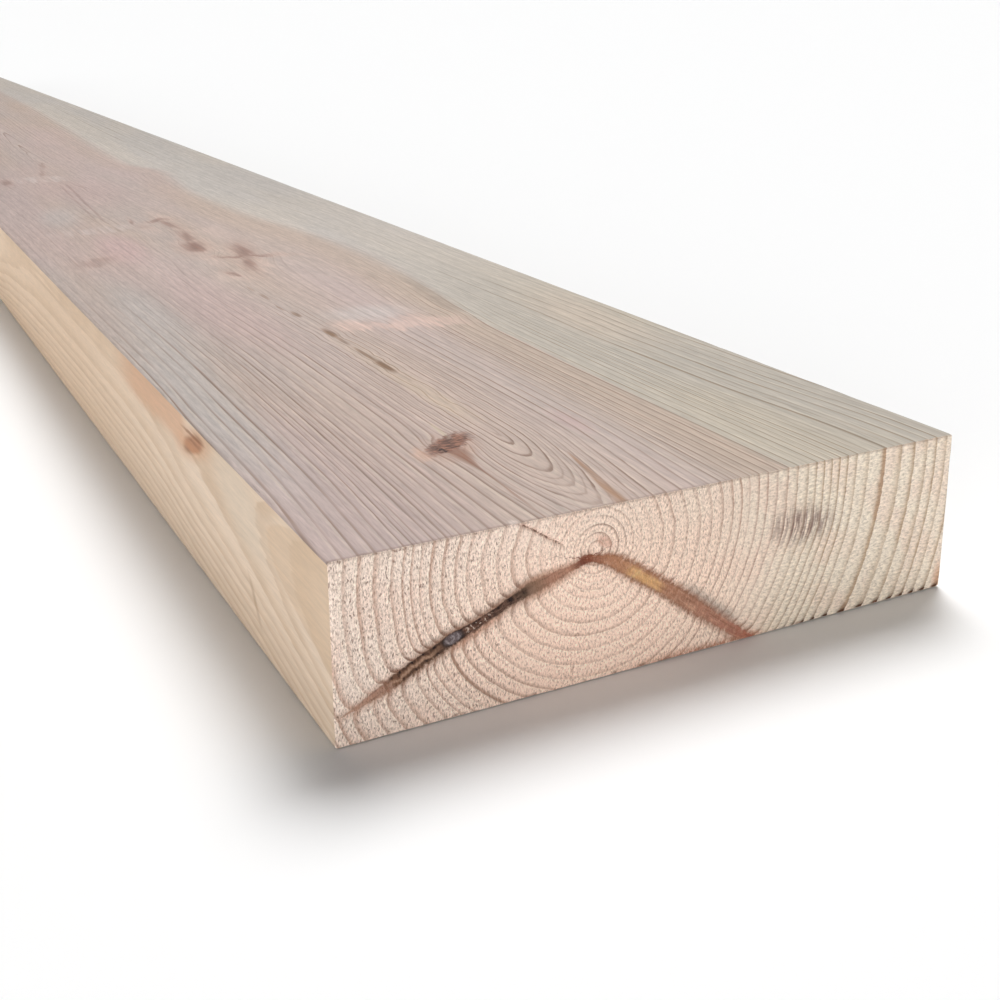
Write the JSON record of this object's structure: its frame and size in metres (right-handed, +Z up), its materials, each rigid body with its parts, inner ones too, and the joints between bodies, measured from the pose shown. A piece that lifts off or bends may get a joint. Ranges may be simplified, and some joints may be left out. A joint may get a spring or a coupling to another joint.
{
  "type": "timber plank",
  "caption": "Straight sawn softwood plank of rectangular section with lightly eased long edges and square-cut ends, for joists, decking, shelving and general building work.",
  "frame": {"origin": "middle of the underside, on the surface that the plank lies on", "axes": "+X along the grain towards the end that shows the pith and its two branch knots, +Y across the wide face, +Z up through the thickness"},
  "size_m": [2.4, 0.2, 0.05],
  "materials": {
    "timber": "bare sawn softwood, matt, with visible growth rings, knots and pale cut ends"
  },
  "bodies": {
    "root": {"plank": "timber"}
  },
  "joints": []
}
